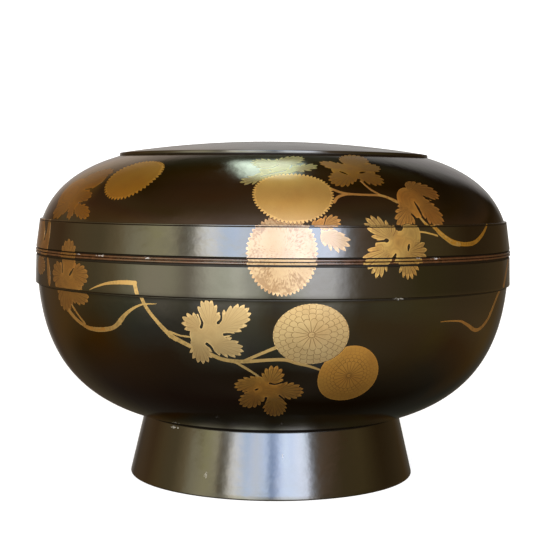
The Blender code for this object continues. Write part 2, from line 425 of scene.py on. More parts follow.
def stroke_depth(x, y, points):
    """Depth inside a brush stroke along a smooth path through rows of (x, y, width): half the width less the
    distance to the path. The path is a Catmull-Rom curve, cut in straight steps."""
    p = np.asarray(points, float)
    ends = np.vstack([2 * p[0] - p[1], p, 2 * p[-1] - p[-2]])
    a, b, c, d = ends[:-3, None], ends[1:-2, None], ends[2:-1, None], ends[3:, None]
    t = np.linspace(0, 1, 8, endpoint=False)[None, :, None]
    curve = 0.5 * (2 * b + (c - a) * t + (2 * a - 5 * b + 4 * c - d) * t**2 + (3 * b - a - 3 * c + d) * t**3)
    path = np.vstack([curve.reshape(-1, 3), p[-1:]])
    depth = np.full(np.shape(x), -1e3)
    for (x0, y0, w0), (x1, y1, w1) in zip(path[:-1], path[1:]):
        dx, dy = x1 - x0, y1 - y0
        along = np.clip(((x - x0) * dx + (y - y0) * dy) / (dx * dx + dy * dy + 1e-12), 0, 1)
        depth = np.maximum(depth, (w0 + along * (w1 - w0)) / 2 - np.hypot(x - x0 - along * dx, y - y0 - along * dy))
    return depth


def oval(x, y, cx, cy, a, b, angle):
    """Share of the way out to an oval's edge, the direction from its middle, and the edge's distance there."""
    ca, sa = math.cos(math.radians(angle)), math.sin(math.radians(angle))
    p, q = ((x - cx) * ca + (y - cy) * sa) / a, (-(x - cx) * sa + (y - cy) * ca) / b
    out = np.hypot(p, q) + 1e-9
    return out, np.arctan2(q, p), np.hypot(x - cx, y - cy) / out


def fanned(x, y, lobe):
    """Where the ray from a lobe's base through (x, y) meets the lobe's edge, as the edge's angle psi. The base lies
    k = 0.6 a behind the middle. A ray at angle t from it meets the edge at the distance
    (k c / a^2 + sqrt(A - (k s / (a b))^2)) / A, with c, s the cosine and sine of t and A = (c / a)^2 + (s / b)^2."""
    cx, cy, a, b, angle, _ = lobe
    ca, sa, k = math.cos(math.radians(angle)), math.sin(math.radians(angle)), 0.6 * a
    t = np.arctan2((y - cy) * ca - (x - cx) * sa, (x - cx) * ca + (y - cy) * sa + k)
    c, s = np.cos(t), np.sin(t)
    square = (c / a) ** 2 + (s / b) ** 2
    reach = (k * c / a**2 + np.sqrt(square - (k * s / (a * b)) ** 2)) / square
    return np.arctan2(reach * s / b, (reach * c - k) / a)


def lobe_depth(x, y, lobe, tooth):
    """Depth inside a leaf lobe: an oval whose tip is cut in pointed teeth that fan out from its base and fade out
    towards it. For s from -1 to 1 across a tooth, the cut is its depth times 0.6 |s| + 0.4 s^2."""
    out, _, size = oval(x, y, *lobe[:5])
    if not lobe[5]:
        return (1 - out) * size
    psi = fanned(x, y, lobe)
    side = 2 * ((lobe[5] * psi / (2 * np.pi) + 0.5) % 1.0) - 1
    cut = (0.6 * np.abs(side) + 0.4 * side**2) * np.clip((2.3 - np.abs(psi)) / 0.6, 0, 1)
    return (1 - out) * size - tooth * cut


def leaf_depth(x, y, tooth, lobes, slits):
    """Depth inside the joined lobes, less the thin slits that part them."""
    depth = np.maximum.reduce([lobe_depth(x, y, lobe, tooth) for lobe in lobes])
    for slit in slits:
        depth = np.minimum(depth, -stroke_depth(x, y, slit))
    return depth


def veins_at(x, y, lobes):
    """Veins of a leaf for its shading: how many teeth round the nearest lobe a point lies, and how strongly the veins
    show there, which fades out where two lobes join."""
    depths = np.stack([(1 - out) * size for out, _, size in (oval(x, y, *lobe[:5]) for lobe in lobes)])
    order = np.argsort(depths, axis=0)
    best, second = (np.take_along_axis(depths, order[None, row], axis=0)[0] for row in (-1, -2))
    turns = np.stack([lobe[5] * fanned(x, y, lobe) / (2 * np.pi) for lobe in lobes])
    turns = np.take_along_axis(turns, order[None, -1], axis=0)[0]
    teeth = np.array([lobe[5] > 0 for lobe in lobes])[order[-1]]
    return turns, np.clip((best - second) / 1.5, 0, 1) * teeth


def flower_depth(x, y, cx, cy, a, b, tilt, scallops, cut):
    """Depth inside a round flower: an oval edged with small petal tips."""
    out, psi, size = oval(x, y, cx, cy, a, b, tilt)
    return (1 - out) * size - cut * (1 - np.abs(np.cos(scallops * psi / 2)))


# Flowers: middle x and y, half width, half height, tilt, petal tips and how deep they are cut
FLOWERS = {
    "A": (-0.3, 3.5, 22.4, 17.7, 0, 60, 1.8),
    "B": (0.2, 3.6, 19.4, 22.6, 0, 52, 1.7),
    "L1": (0.3, 1.7, 19.2, 18.6, 0, 46, 2.2),
    "B7": (-0.8, 0.1, 20.8, 17.2, 0, 64, 0.15),
    "B8": (0.2, -0.9, 17.5, 18.6, 0, 64, 0.1),
}
# Leaves: how deep the teeth are cut, then lobes as x, y, half length, half width, direction and teeth, then slits as
# strokes
LEAVES = {
    "B4": (
        2.3,
        [(-5, -2, 10, 9, 0, 0), (-12.6, 4.2, 7.3, 6.2, 150, 11), (-4, 9.2, 9.3, 6.7, 96, 13),
         (9.2, 6.7, 11.6, 7.6, 38, 16), (4.6, -8.2, 10.3, 6.4, -14, 14), (-9.3, -11, 8.2, 6.9, -85, 13)],
        [[(-8.3, 2.5, 1.7), (-7.6, 5, 1.3), (-8.8, 8.3, 0.7), (-10, 11.5, 0.5)],
         [(1.2, 5.2, 1.7), (2.8, 7, 1.3), (3.2, 9.5, 1.0), (3, 13, 0.9)],
         [(4.4, -1.2, 1.7), (7, -0.9, 1.3), (11, -1.2, 1.4), (15, -0.6, 1.6)],
         [(-5.6, -7, 1.9), (-3.4, -9, 1.6), (-1.8, -12, 1.2), (1.5, -14.8, 1.0)]],
    ),
    "B6": (
        2.0,
        [(-2, 0, 9.5, 8, 0, 0), (2.2, 9.6, 7.6, 6.4, 70, 12), (-11, 4.0, 8.4, 5.6, 197, 13),
         (-9.7, -8.0, 8.2, 6.8, 236, 13), (3.4, -13.5, 11.2, 7.0, -90, 18), (11, -0.6, 8.6, 6.8, -8, 14),
         (-4.6, 6.6, 3.2, 2.6, 120, 0)],
        [[(0.8, 5, 1.4), (3.5, 4.4, 1.1), (7, 5.4, 0.9)], [(-7, 0.2, 1.4), (-5.8, 0.9, 1.0)],
         [(-1.4, -6, 1.6), (-2, -9, 1.2), (-3.4, -14, 0.9)], [(6, -4.2, 1.4), (8, -6.6, 1.1), (10, -10, 1.0)]],
    ),
    "B1": (
        1.8,
        [(-4, -1, 11, 10, 0, 0), (-2.9, 12, 8.8, 8.8, 92, 12), (8, 0.8, 9.8, 6.9, -3, 13),
         (-15, 0, 8.2, 7.8, 175, 10), (4.6, -11.6, 11.4, 7.0, -8, 14), (-9.5, -13, 10.7, 9.8, 250, 14),
         (6, -6, 6, 4, 0, 0)],
        [[(-0.8, 0.4, 1.5), (0.8, 1.8, 1.6), (3.2, 4.2, 0.7)], [(-9.6, 1.5, 1.4), (-9.6, 5, 1.2), (-10.5, 9, 1.0)],
         [(8, -8.2, 0.4), (11, -7.8, 0.7), (14, -8, 1.0)]],
    ),
    "L5": (
        2.3,
        [(-4, 5.5, 10.3, 9.6, 60, 0), (8.5, 13.5, 11.8, 6.9, -20, 16), (7, -1.5, 10.5, 7.4, -50, 15),
         (-12, -3.5, 10, 6.8, 235, 13)],
        [[(6.3, 9.4, 1.2), (8, 8.2, 1.9), (11, 7.2, 1.2), (14.5, 6.3, 1.0), (18.5, 5.2, 3)],
         [(-2.6, 5.4, 0.9), (-1.8, 2.4, 1.7), (-1.2, -0.6, 1.7), (-0.6, -3.2, 1.3), (1, -6.2, 1.2)],
         [(-7.6, -2.4, 1.2), (-6.2, -4.4, 1.8), (-5, -8, 2.6)]],
    ),
    "L6": (
        3.0,
        [(-1, 3, 13, 8.5, 0, 0), (-8.8, 12, 12, 7.8, 135, 14), (8, 8.5, 8.4, 7.4, 80, 0),
         (-10.4, -0.9, 12.6, 7, 206, 12), (-11.2, -6, 8.2, 5.6, 250, 10), (6.6, -7, 8.2, 7.4, 290, 14),
         (11.2, 0.4, 8.6, 7.8, 5, 12)],
        [[(-6.2, 6.4, 1.6), (-7, 6.4, 2.3), (-8.6, 6.2, 1.3), (-13, 5.9, 1.2), (-16, 6, 3)],
         [(-1.6, -1, 1.0), (-2.6, -2.8, 2.0), (-3.8, -4.8, 1.6)], [(7.4, 4.2, 0.9), (7, 2.8, 1.7), (6.5, 0.6, 0.8)],
         [(2, 13.4, 3.8), (2, 15.5, 4.2), (2.4, 18, 6)], [(-3, -9, 1.0), (-2.4, -11, 3), (-2.4, -14, 4)]],
    ),
    "L4": (
        2.0,
        [(0, 1, 11, 8, 10, 0), (-6, 5.5, 10.2, 5.9, 145, 13), (8.5, 15, 10.8, 8.9, 50, 18),
         (13, 4.6, 8.5, 6.3, 10, 13), (9.5, -5.5, 9.4, 6.9, -35, 14), (-7, -6.8, 9.6, 6.9, 210, 15)],
        [[(-6.4, -0.2, 0.8), (-5, -1.4, 1.7), (-3, -3.2, 0.8)], [(5.3, -1.6, 1.2), (6.8, -1, 1.8), (9.2, -0.2, 0.7)]],
    ),
    "L7": (
        3.2,
        [(3.0, -2.9, 8.8, 6.8, -25, 12), (-1.4, 1.5, 3.8, 4, 0, 0)],
        [[(4.2, 3.4, 3.6), (8, 1.8, 3.6), (11.5, -0.2, 3.4), (14, -3.5, 3)]],
    ),
    "L8": (
        1.9,
        [(0, 7.2, 7, 5, 18, 12), (-5, 6.4, 4.6, 3.6, 0, 8)],
        [[(-3.2, 6, 0.5), (-2, 9, 0.5), (-1.6, 10.6, 0.5)]],
    ),
    "L2": (
        2.9,
        [(2, 4, 11, 6, 10, 0), (-13, -7, 7.2, 4.2, 200, 9), (-5, 10, 9.6, 7.0, 150, 15),
         (6, 13, 12.6, 7.3, 40, 19), (17, 6, 7.2, 4.8, 22, 9), (-5, -3, 9, 4, 25, 0)],
        [[(-10, 4.6, 0.9), (-3, 4.6, 0.8), (2, 9, 0.5)], [(-3.2, 2.4, 1.0), (-2.6, 1.4, 0.8)],
         [(-8, -4.0, 0.8), (-2, -1.0, 0.9), (4, 1.6, 1.0), (6, 3.0, 0.6)],
         [(7.6, 4.6, 0.9), (8.6, 6.6, 1.2), (9, 9, 0.8)], [(9.5, 8.0, 0.9), (14, 10.5, 0.7)]],
    ),
    "LL": (
        1.8,
        [(-10, 2, 15, 12, 0, 0), (6, 10, 12, 8, 15, 0), (10, -0.5, 9.7, 4.8, -3, 10),
         (18, -10.5, 9.7, 4.6, -18, 11), (5.5, -10, 6.5, 4.4, 285, 8), (-10, -8, 12, 8, 200, 9),
         (4, 16, 13, 8, 20, 13), (2, -5, 8, 4, 0, 0)],
        [[(6.5, 4.6, 0.8), (9, 4.6, 1.0), (13, 5.2, 1.4)], [(12.5, -5.2, 1.2), (15, -5.8, 1.5)],
         [(9, -10, 0.7), (11, -13, 1.6), (13, -15.5, 2.4)]],
    ),
    "BL": (
        1.2,
        [(-9, 5, 12, 11, 0, 0), (-2, -13, 11, 6, 0, 12), (10, 5, 4, 11, 0, 0), (6, -3, 8, 5, 0, 0),
         (16, -16, 2.2, 9, 15, 0)],
        [[(5.5, 8, 5), (5, 12, 7), (5, 14.5, 8)]],
    ),
}
# Stems: strokes as rows of x, y and width
STEMS = {
    "B5": [
        [(-27, 3.1, 2.2), (-20, 0.2, 2.1), (-12, -0.8, 2.2), (-5, -0.6, 2.0), (5, 0.4, 1.9), (14, 0.5, 2.0),
         (20, -1.5, 1.8), (27, -3.5, 1.5), (32.5, -5.7, 1.2)],
        [(-8, -0.2, 1.5), (-3, 2.2, 1.7), (3, 5.1, 1.7), (9, 7.8, 1.9)],
        [(-14, -1.0, 1.3), (-8, -4.2, 0.9), (-3, -8, 0.8), (-1, -10.4, 0.8)],
    ],
    "B3": [
        [(-41, -2.0, 1.8), (-36, -5.7, 1.9), (-32, -8.4, 2.0), (-25, -11.5, 2.2), (-20, -12.8, 2.4),
         (-13, -13.2, 2.6), (-6, -12.5, 2.6), (0, -11.2, 2.4), (4, -9.2, 2.6), (7.5, -6.2, 2.9), (11, -3, 2.2),
         (15, -0.2, 1.7), (20, 2.4, 1.2), (25, 3.9, 0.9), (33, 4.4, 0.3)],
        [(6, -8.0, 2.2), (7.4, -8.8, 0.4)],
        [(-14, 11.5, 0.3), (-8, 13.7, 0.9), (0, 15.8, 1.5), (8, 16.8, 2.1), (14, 17.1, 2.4), (20.6, 17.1, 2.4)],
        [(20.2, 17.1, 2.3), (21.8, 11.5, 2.4), (24.3, 5.5, 2.1), (27.0, 0.8, 2.0), (32.2, -5.6, 2.2),
         (38, -11.8, 2.7), (42, -14.9, 2.8)],
        [(-36, 1.0, 1.1), (-30, -5.0, 1.3), (-23.5, -10.4, 1.3)],
        [(38, -10.6, 0.9), (44, -12.6, 0.9), (50, -13.2, 0.9)],
    ],
    "L4": [
        [(-17.5, -15.0, 1.5), (-11.7, -18.3, 1.6), (-6.7, -19.4, 1.5), (3.3, -20, 1.4), (11.7, -20.4, 1.6),
         (18.3, -23, 1.8), (24, -26.4, 1.9), (31, -31, 2.0)],
        [(-17, -25, 1.6), (-14, -21.6, 1.6), (-9.4, -19.9, 1.5), (-5, -19.6, 1.3)],
        [(2.9, -9.3, 1.1), (5, -13.5, 1.2), (7.5, -16.8, 1.3), (11.7, -20, 1.2)],
    ],
    "L5": [
        [(-3, -3.5, 1.4), (0, -7.5, 1.6), (3, -10, 1.8), (6, -12, 1.9), (9, -15, 2.2), (14, -18, 2.4),
         (19, -20.5, 2.5), (25, -21.6, 2.4)],
        [(-24, 10, 1.5), (-20, 8.6, 1.5), (-15, 5.2, 1.5)],
    ],
    "L6": [[(13, 11, 0.9), (18, 10.7, 0.9), (23, 9.8, 0.9), (28, 8.6, 1.0)]],
    "R5": [
        [(-31, 7.5, 1.8), (-27, 4.6, 2.0), (-22, 1.0, 2.2), (-18, -1.6, 2.5), (-13, -3.8, 2.5), (-8, -5.0, 2.5),
         (-2, -5.6, 2.3), (5, -5.4, 2.4), (10, -4.3, 2.4), (15, -2.2, 2.3), (20, 0.6, 2.0), (25, 4.3, 1.5),
         (26.5, 6.6, 0.5)],
        [(-9, -5.5, 2.0), (-6.5, -6.6, 0.3)],
    ],
    "B9": [
        [(-38, -6.4, 0.4), (-30, -6.4, 0.7), (-20, -7.2, 1.2), (-15, -8.8, 1.6), (-10, -10.7, 2.0),
         (-5, -12.9, 2.2), (0, -14.1, 2.2), (5, -13.7, 2.3), (10, -11.6, 2.4), (15, -8.1, 2.6), (18, -4.4, 2.7),
         (21, -0.5, 2.7), (26, 5, 2.6), (31, 9, 2.6), (35, 14, 2.8), (41, 20, 3.0), (49, 26.5, 3.0)],
    ],
    "B4": [
        [(-27, -3, 2.6), (-20, -6.4, 2.4), (-15, -8.8, 2.4)],
        [(-27, -0.6, 0.8), (-20, -2.9, 0.8), (-14, -3.4, 0.7)],
    ],
    "B6": [[(-18, 18.5, 1.2), (-12, 14.5, 1.2), (-7, 11, 1.2), (-4, 8, 1.2)]],
    "B1": [
        [(-10, -21, 2), (-5, -24.5, 2), (0, -27.5, 2), (8, -30.5, 2), (15, -31.5, 2), (25, -31, 2)],
        [(-2, -20, 1.2), (2, -23.5, 1.2), (8, -28.5, 1.2)],
    ],
}
# Where each drawing lies: azimuth in degrees from the front, positive to the right, and mm from the seam. Then the
# drawings that lie over it, its tone of gold and how the gold is worked
PLACES = {
    "A": (4.4, 36, (), "straw", "paling"),
    "B": (1.55, 0.9, ("A",), "cream", "rubbed"),
    "L1": (-39.2, 51.8, (), "honey", "plain"),
    "B7": (8.4, -41, (), "pale", "lined"),
    "B8": (17.5, -65.2, ("B7",), "orange", "finely_lined"),
    "L5": (34.7, 30, ("L6",), "orange", "veins"),
    "L6": (26.7, 5, (), "wheat", "veins"),
    "L4": (20.2, 60, (), "brown", "veins"),
    "L2": (0.3, 58, ("A",), "silvered", "veins"),
    "L7": (11.6, 15, ("B", "L8"), "cream", "faint_veins"),
    "L8": (11.6, 15, ("A", "B"), "amber", "veins"),
    "B1": (-50.5, -11.4, (), "amber", "veins"),
    "B4": (-12.1, -40, (), "pale", "faint_veins"),
    "B6": (-1, -75.8, (), "orange", "veins"),
    "LL": (-56.8, 37.8, ("L1",), "brown", "veins"),
    "BL": (-68, 5, ("B1",), "amber", "veins"),
    "R5": (47, 14, (), "honey", "plain"),
    "B9": (54.4, -30, (), "amber", "plain"),
    "B3": (-38, -30, (), "wheat", "plain"),
    "B5": (-3, -56, (), "wheat", "plain"),
}
# Stems that differ in tone from the drawing of their name
STEM_TONES = {"L4": "amber", "L5": "wheat", "L6": "wheat", "B3": "sand", "B4": "sand", "B5": "sand", "B6": "sand"}
# The back repeats these, turned half round
BACK = {"flower": ("A", "B7", "L1"), "leaf": ("L5", "B4", "B1"), "stem": ("L4", "B5", "B3", "L5")}
BACK_TURN = 186.0


def outline(depth, x0, y0):
    """Zero line of a sampled depth, as points and the edges that join them: a grid edge whose ends differ in sign
    holds a point, set by linear interpolation, and the two points of each grid cell are joined."""
    inside = depth > 0
    across, upward = inside[:, :-1] != inside[:, 1:], inside[:-1] != inside[1:]
    across_id, upward_id = np.full(across.shape, -1), np.full(upward.shape, -1)
    across_id[across] = np.arange(across.sum())
    upward_id[upward] = across.sum() + np.arange(upward.sum())
    i, j = np.nonzero(across)
    t = depth[i, j] / (depth[i, j] - depth[i, j + 1])
    first = np.stack([x0 + GRID * (j + t), y0 + GRID * i], axis=1)
    i, j = np.nonzero(upward)
    t = depth[i, j] / (depth[i, j] - depth[i + 1, j])
    second = np.stack([x0 + GRID * j, y0 + GRID * (i + t)], axis=1)
    sides = np.stack([across_id[:-1], upward_id[:, 1:], across_id[1:], upward_id[:, :-1]], axis=-1).reshape(-1, 4)
    count = (sides >= 0).sum(1)
    pairs = np.sort(sides[count == 2], axis=1)[:, 2:]
    saddles = sides[count == 4]
    return np.vstack([first, second]), np.vstack([pairs, saddles[:, :2], saddles[:, 2:]])


def film_faces(depth_at, box):
    """Flat triangles that fill a drawn shape: its outline and a lattice of inner points, joined by a Delaunay
    triangulation, of which the triangles whose middle is inside are kept."""
    x0, x1, y0, y1 = box
    depth = depth_at(*np.meshgrid(np.arange(x0, x1, GRID), np.arange(y0, y1, GRID)))
    depth[[0, -1]] = depth[:, [0, -1]] = -1.0
    rim, edges = outline(depth, x0, y0)
    if not len(edges):
        return None
    lattice_x, lattice_y = np.meshgrid(np.arange(x0, x1, FILL), np.arange(y0, y1, FILL * 0.87))
    lattice_x[1::2] += FILL / 2
    inner = np.stack([lattice_x.ravel(), lattice_y.ravel()], axis=1)
    inner = inner[depth_at(inner[:, 0], inner[:, 1]) > 0.6]
    points = np.vstack([rim, inner])
    found = delaunay_2d_cdt([Vector(p) for p in points.tolist()], edges.tolist(), [], 0, 1e-5)
    points, faces = np.array([tuple(p) for p in found[0]]), np.array(found[2])
    a, b, c = points[faces[:, 0]], points[faces[:, 1]], points[faces[:, 2]]
    area = (b[:, 0] - a[:, 0]) * (c[:, 1] - a[:, 1]) - (b[:, 1] - a[:, 1]) * (c[:, 0] - a[:, 0])
    middle = (a + b + c) / 3
    faces[area < 0] = faces[area < 0][:, ::-1]
    faces = faces[(np.abs(area) > 1e-7) & (depth_at(middle[:, 0], middle[:, 1]) > 0)]
    used, faces = np.unique(faces, return_inverse=True)
    return points[used], faces.reshape(-1, 3)


def film(name, outside, place, stretches, depth_at, box, lift, uv_at, material, lobes):
    """A thin closed film on the outside of the box. Each stretch of v gives its own patch: (x, y) lies at turn
    azimuth + x / r(v) and v + y, once lifted by the film and once just under the lacquer, joined by side walls. The
    lobes of a leaf give its points their veins."""
    azimuth, v0 = math.radians(place[0]), place[1]
    tops, lows, flats, depths, faces, base = [], [], [], [], [], 0
    for low, high in stretches:
        if high < v0 + box[2] or low > v0 + box[3]:
            continue
        cut = lambda x, y: np.minimum(depth_at(x, y), np.minimum(v0 + y - low, high - v0 - y))
        bottom, top = max(box[2], low - v0 - 2 * GRID), min(box[3], high - v0 + 3 * GRID)
        found = film_faces(cut, (box[0], box[1], bottom, top))
        if found is None or not len(found[1]):
            continue
        flat, triangles = found
        v = v0 + flat[:, 1]
        turn = azimuth + flat[:, 0] / outside.radius(v)
        tops.append(outside.point(turn, v, lift))
        lows.append(outside.point(turn, v, UNDER_LACQUER))
        flats.append(flat)
        depths.append(depth_at(flat[:, 0], flat[:, 1]))
        faces.append(triangles + base)
        base += len(flat)
    if not faces:
        return
    faces, flat = np.vstack(faces), np.vstack(flats)
    sides = np.vstack([faces[:, [0, 1]], faces[:, [1, 2]], faces[:, [2, 0]]])
    key = np.sort(sides, axis=1)
    _, index, count = np.unique(key[:, 0] * base + key[:, 1], return_index=True, return_counts=True)
    rim = sides[index[count == 1]]
    walls = np.stack([rim[:, 1], rim[:, 0], rim[:, 0] + base, rim[:, 1] + base], axis=1)
    mesh = bpy.data.meshes.new(name)
    points = np.vstack([*tops, *lows])
    mesh.from_pydata(points.tolist(), [], faces.tolist() + (faces[:, ::-1] + base).tolist() + walls.tolist())
    corner = np.empty(len(mesh.loops), int)
    mesh.loops.foreach_get("vertex_index", corner)
    drawn = np.vstack([uv_at(flat[:, 0], flat[:, 1])] * 2)
    layer = mesh.uv_layers.new(name="drawing")
    layer.data.foreach_set("uv", drawn[corner].astype(np.float32).ravel())
    fields = {"rim": np.concatenate(depths)}
    if lobes:
        fields["teeth"], fields["veins"] = veins_at(flat[:, 0], flat[:, 1], lobes)
    for key, values in fields.items():
        mesh.attributes.new(key, "FLOAT", "POINT").data.foreach_set("value", np.tile(values, 2).astype(np.float32))
    placed(name, mesh, material, 40)


def drawing_depth(name):
    """The depth function of a drawn flower or leaf by its name."""
    if name in FLOWERS:
        return lambda x, y: flower_depth(x, y, *FLOWERS[name])
    return lambda x, y: leaf_depth(x, y, *LEAVES[name])


def drawing_box(name):
    """Left, right, lower and upper reach of a drawn flower or leaf, with 1 mm to spare."""
    if name in FLOWERS:
        cx, cy, a, b, *_ = FLOWERS[name]
        return cx - a - 1, cx + a + 1, cy - b - 1, cy + b + 1
    lobes = np.array(LEAVES[name][1], float)
    reach = lobes[:, 2:4].max(1, keepdims=True) + 1
    low, high = (lobes[:, :2] - reach).min(0).tolist(), (lobes[:, :2] + reach).max(0).tolist()
    return low[0], high[0], low[1], high[1]


def less_those_over(depth_at, outside, place, names, turn, gap):
    """A depth cut back by a gap round the drawings that lie over it, so a line of bare lacquer parts them."""
    azimuth, v0 = place

    def cut(x, y):
        depth = depth_at(x, y)
        radius = outside.radius(v0 + y)
        for name in names:
            there = PLACES[name]
            across = x + radius * math.radians(azimuth - there[0] - turn)
            depth = np.minimum(depth, -drawing_depth(name)(across, y + v0 - there[1]) - gap)
        return depth

    return cut


def lay_gold(group, drawings, thickness):
    """Lays each drawing of a group on lid and body as a film of this share of the full thickness, first in front
    and then the few that the back repeats."""
    shape, outside = shape_now()
    for turn, side, names in ((0.0, "front", drawings), (BACK_TURN, "back", BACK[group])):
        shown = [*FLOWERS, *LEAVES] if side == "front" else BACK["flower"] + BACK["leaf"]
        for name in names:
            azimuth, v0, over, tone, kind = PLACES[name]
            uv_at, lobes = leaf_uv, None
            if group == "stem":
                tone, kind, gap = STEM_TONES.get(name, tone), "plain", -STEM_OVERLAP
                over = [n for n in shown if abs(PLACES[n][0] - azimuth) < STEM_REACH[0]
                        and abs(PLACES[n][1] - v0) < STEM_REACH[1]]
                strokes = STEMS[name]
                depth = lambda x, y: np.maximum.reduce([stroke_depth(x, y, stroke) for stroke in strokes])
                low, high = np.vstack(strokes).min(0) - STEM_MARGIN, np.vstack(strokes).max(0) + STEM_MARGIN
                box = (low[0], high[0], low[1], high[1])
            else:
                over, gap = [n for n in over if n in shown], BARE_LINE
                depth, box = drawing_depth(name), drawing_box(name)
                if group == "flower":
                    uv_at = flower_uv(*FLOWERS[name][:4])
                else:
                    lobes = LEAVES[name][1]
            place = (azimuth + turn, v0)
            depth = less_those_over(depth, outside, place, over, turn, gap)
            for part, stretches in outside.parts.items():
                film(f"{group}_{name}_{part}_{side}", outside, place, stretches, depth, box,
                     thickness * shape.s.film / MM, uv_at, sprinkled_gold(tone, kind), lobes)


def shape_now():
    shape = Shape(bpy.context.scene.lacquer_box_sizes)
    return shape, Outside(shape)


# Materials

def new_material(name):
    """A material with its shader, and add_node tied to its tree."""
    material = bpy.data.materials.new(name)
    material.use_nodes = True
    tree = material.node_tree
    return material, tree.nodes["Principled BSDF"], functools.partial(add_node, tree)


# Chips and scuffs in the lacquer: degrees from the front, mm from the seam, half length, half height and strength
CHIPS = (
    (-47.0, 0.9, 2.8, 0.5, 0.5), (-39.7, 0.8, 3.8, 0.6, 0.7), (-27.3, 0.6, 2.6, 0.6, 0.7), (31.9, 1.1, 2.6, 0.6, 0.8),
    (36.4, 1.1, 3.0, 0.6, 0.8), (27.1, -20.5, 4.2, 0.7, 0.7), (-46.3, -139.6, 4.8, 0.7, 0.6),
    (-26.3, -164.6, 1.6, 1.6, 0.4), (4.3, -151.3, 0.5, 3.6, 0.4), (3.2, -148.0, 0.4, 2.2, 0.3),
)


def polished_lacquer(outside):
    """Polished black lacquer over wood: nearly black with a brown cast and faint clouds, a clear gloss that shows the
    window, slow hand-polished waves, beads rubbed brown, painted shade that dulls the grooves and corners and cuts
    their reflection, and a few pale chips."""
    c = bpy.context.scene.lacquer_box_colours
    material, shader, add = new_material("polished_black_lacquer")
    place = add("TexCoord", {})["Object"]
    cloud = add("TexNoise", {}, place, None, 14.0, 3.0, 0.5)[0]
    ground = add("Mix", COLOUR, cloud, *SKIP, (*c.lacquer_deep, 1), (*c.lacquer, 1))[2]
    # Rubbing comes and goes along a bead in patches of about 4 mm with a finer tooth of 0.6 mm
    patch = add("TexNoise", {}, place, None, 240.0, 3.0, 0.62)[0]
    # The worn attribute is 1 on rubbed beads and -1 where shade is painted in grooves and corners
    worn = add("Attribute", {"attribute_name": "worn"})["Fac"]
    most = add("MapRange", {}, patch, 0.3, 0.7, 0.3, 0.8)[0]
    rubbed = add("Math", CLAMPED, worn, most)[0]
    painted_shade = add("Math", CLAMPED, worn, -1.0)[0]
    # A chipped place is an oval in which the pale ground shows in specks of about 0.8 mm, fewer towards its edge
    ragged = add("TexNoise", {}, place, None, 1100.0, 2.0, 0.5)[0]
    chipped = 0.0
    for azimuth, v, long, high, strength in CHIPS:
        spot = tuple(outside.point(math.radians(azimuth), v, 0.0).tolist())
        off = add("VectorMath", "SUBTRACT", place, spot)[0]
        off = add("VectorMath", "MULTIPLY", off, tuple(1 / (size * MM) for size in (long, long, high)))[0]
        far = add("VectorMath", "LENGTH", off)["Value"]
        far = add("Math", "MULTIPLY_ADD", far, 0.25, ragged)[0]
        spot = add("MapRange", {}, far, 0.58, 0.66, strength, 0.0)[0]
        chipped = add("Math", "MAXIMUM", spot, chipped)[0]
    finish = ground
    for share, tint in ((rubbed, c.worn), (chipped, c.chip)):
        finish = add("Mix", COLOUR, share, *SKIP, finish, (*tint, 1))[2]
    # Polish varies softly over patches of about 15 mm, and chips, rubbed beads and the painted shade are duller
    haze = add("TexNoise", {}, place, None, 60.0, 3.0, 0.6)[0]
    gloss = add("MapRange", {}, haze, 0.3, 0.7, 0.06, 0.15)[0]
    dull = add("Math", "MAXIMUM", painted_shade, chipped)[0]
    dull = add("Math", "MULTIPLY_ADD", rubbed, 0.25, dull)[0]
    rough = add("Math", "MULTIPLY_ADD", dull, 0.5, gloss)[0]
    # Painted shade: in grooves and corners the reflection is cut nearly away
    shaded_specular = add("MapRange", {}, painted_shade, 0.0, 1.0, 0.5, 0.04)[0]
    wave = add("TexNoise", {}, place, None, 26.0, 1.0, 0.4)[0]
    ripple = add("TexNoise", {}, place, None, 170.0, 2.0, 0.5)[0]
    wave = add("Math", "MULTIPLY_ADD", ripple, 0.45, wave)[0]
    bump = add("Bump", {}, 0.35, 0.0004, None, wave)[0]
    feed(shader, {"Base Color": finish, "Roughness": rough, "Specular IOR Level": shaded_specular, "IOR": 1.53,
                  "Normal": bump}.items())
    return material


# Rows of petals from the middle out: radius, depth of the rounded tips, petals and their shift, all as shares
PETALS = {
    "lined": ((0.09, 0.0, 1, 0.0), (0.53, 0.15, 15, 0.0), (0.70, 0.09, 20, 0.5), (0.85, 0.08, 26, 0.0),
              (0.985, 0.05, 32, 0.5)),
    "finely_lined": ((0.07, 0.0, 1, 0.0), (0.50, 0.07, 20, 0.0), (0.61, 0.05, 24, 0.5), (0.72, 0.05, 28, 0.0),
                     (0.83, 0.05, 32, 0.5), (0.985, 0.04, 38, 0.0)),
}


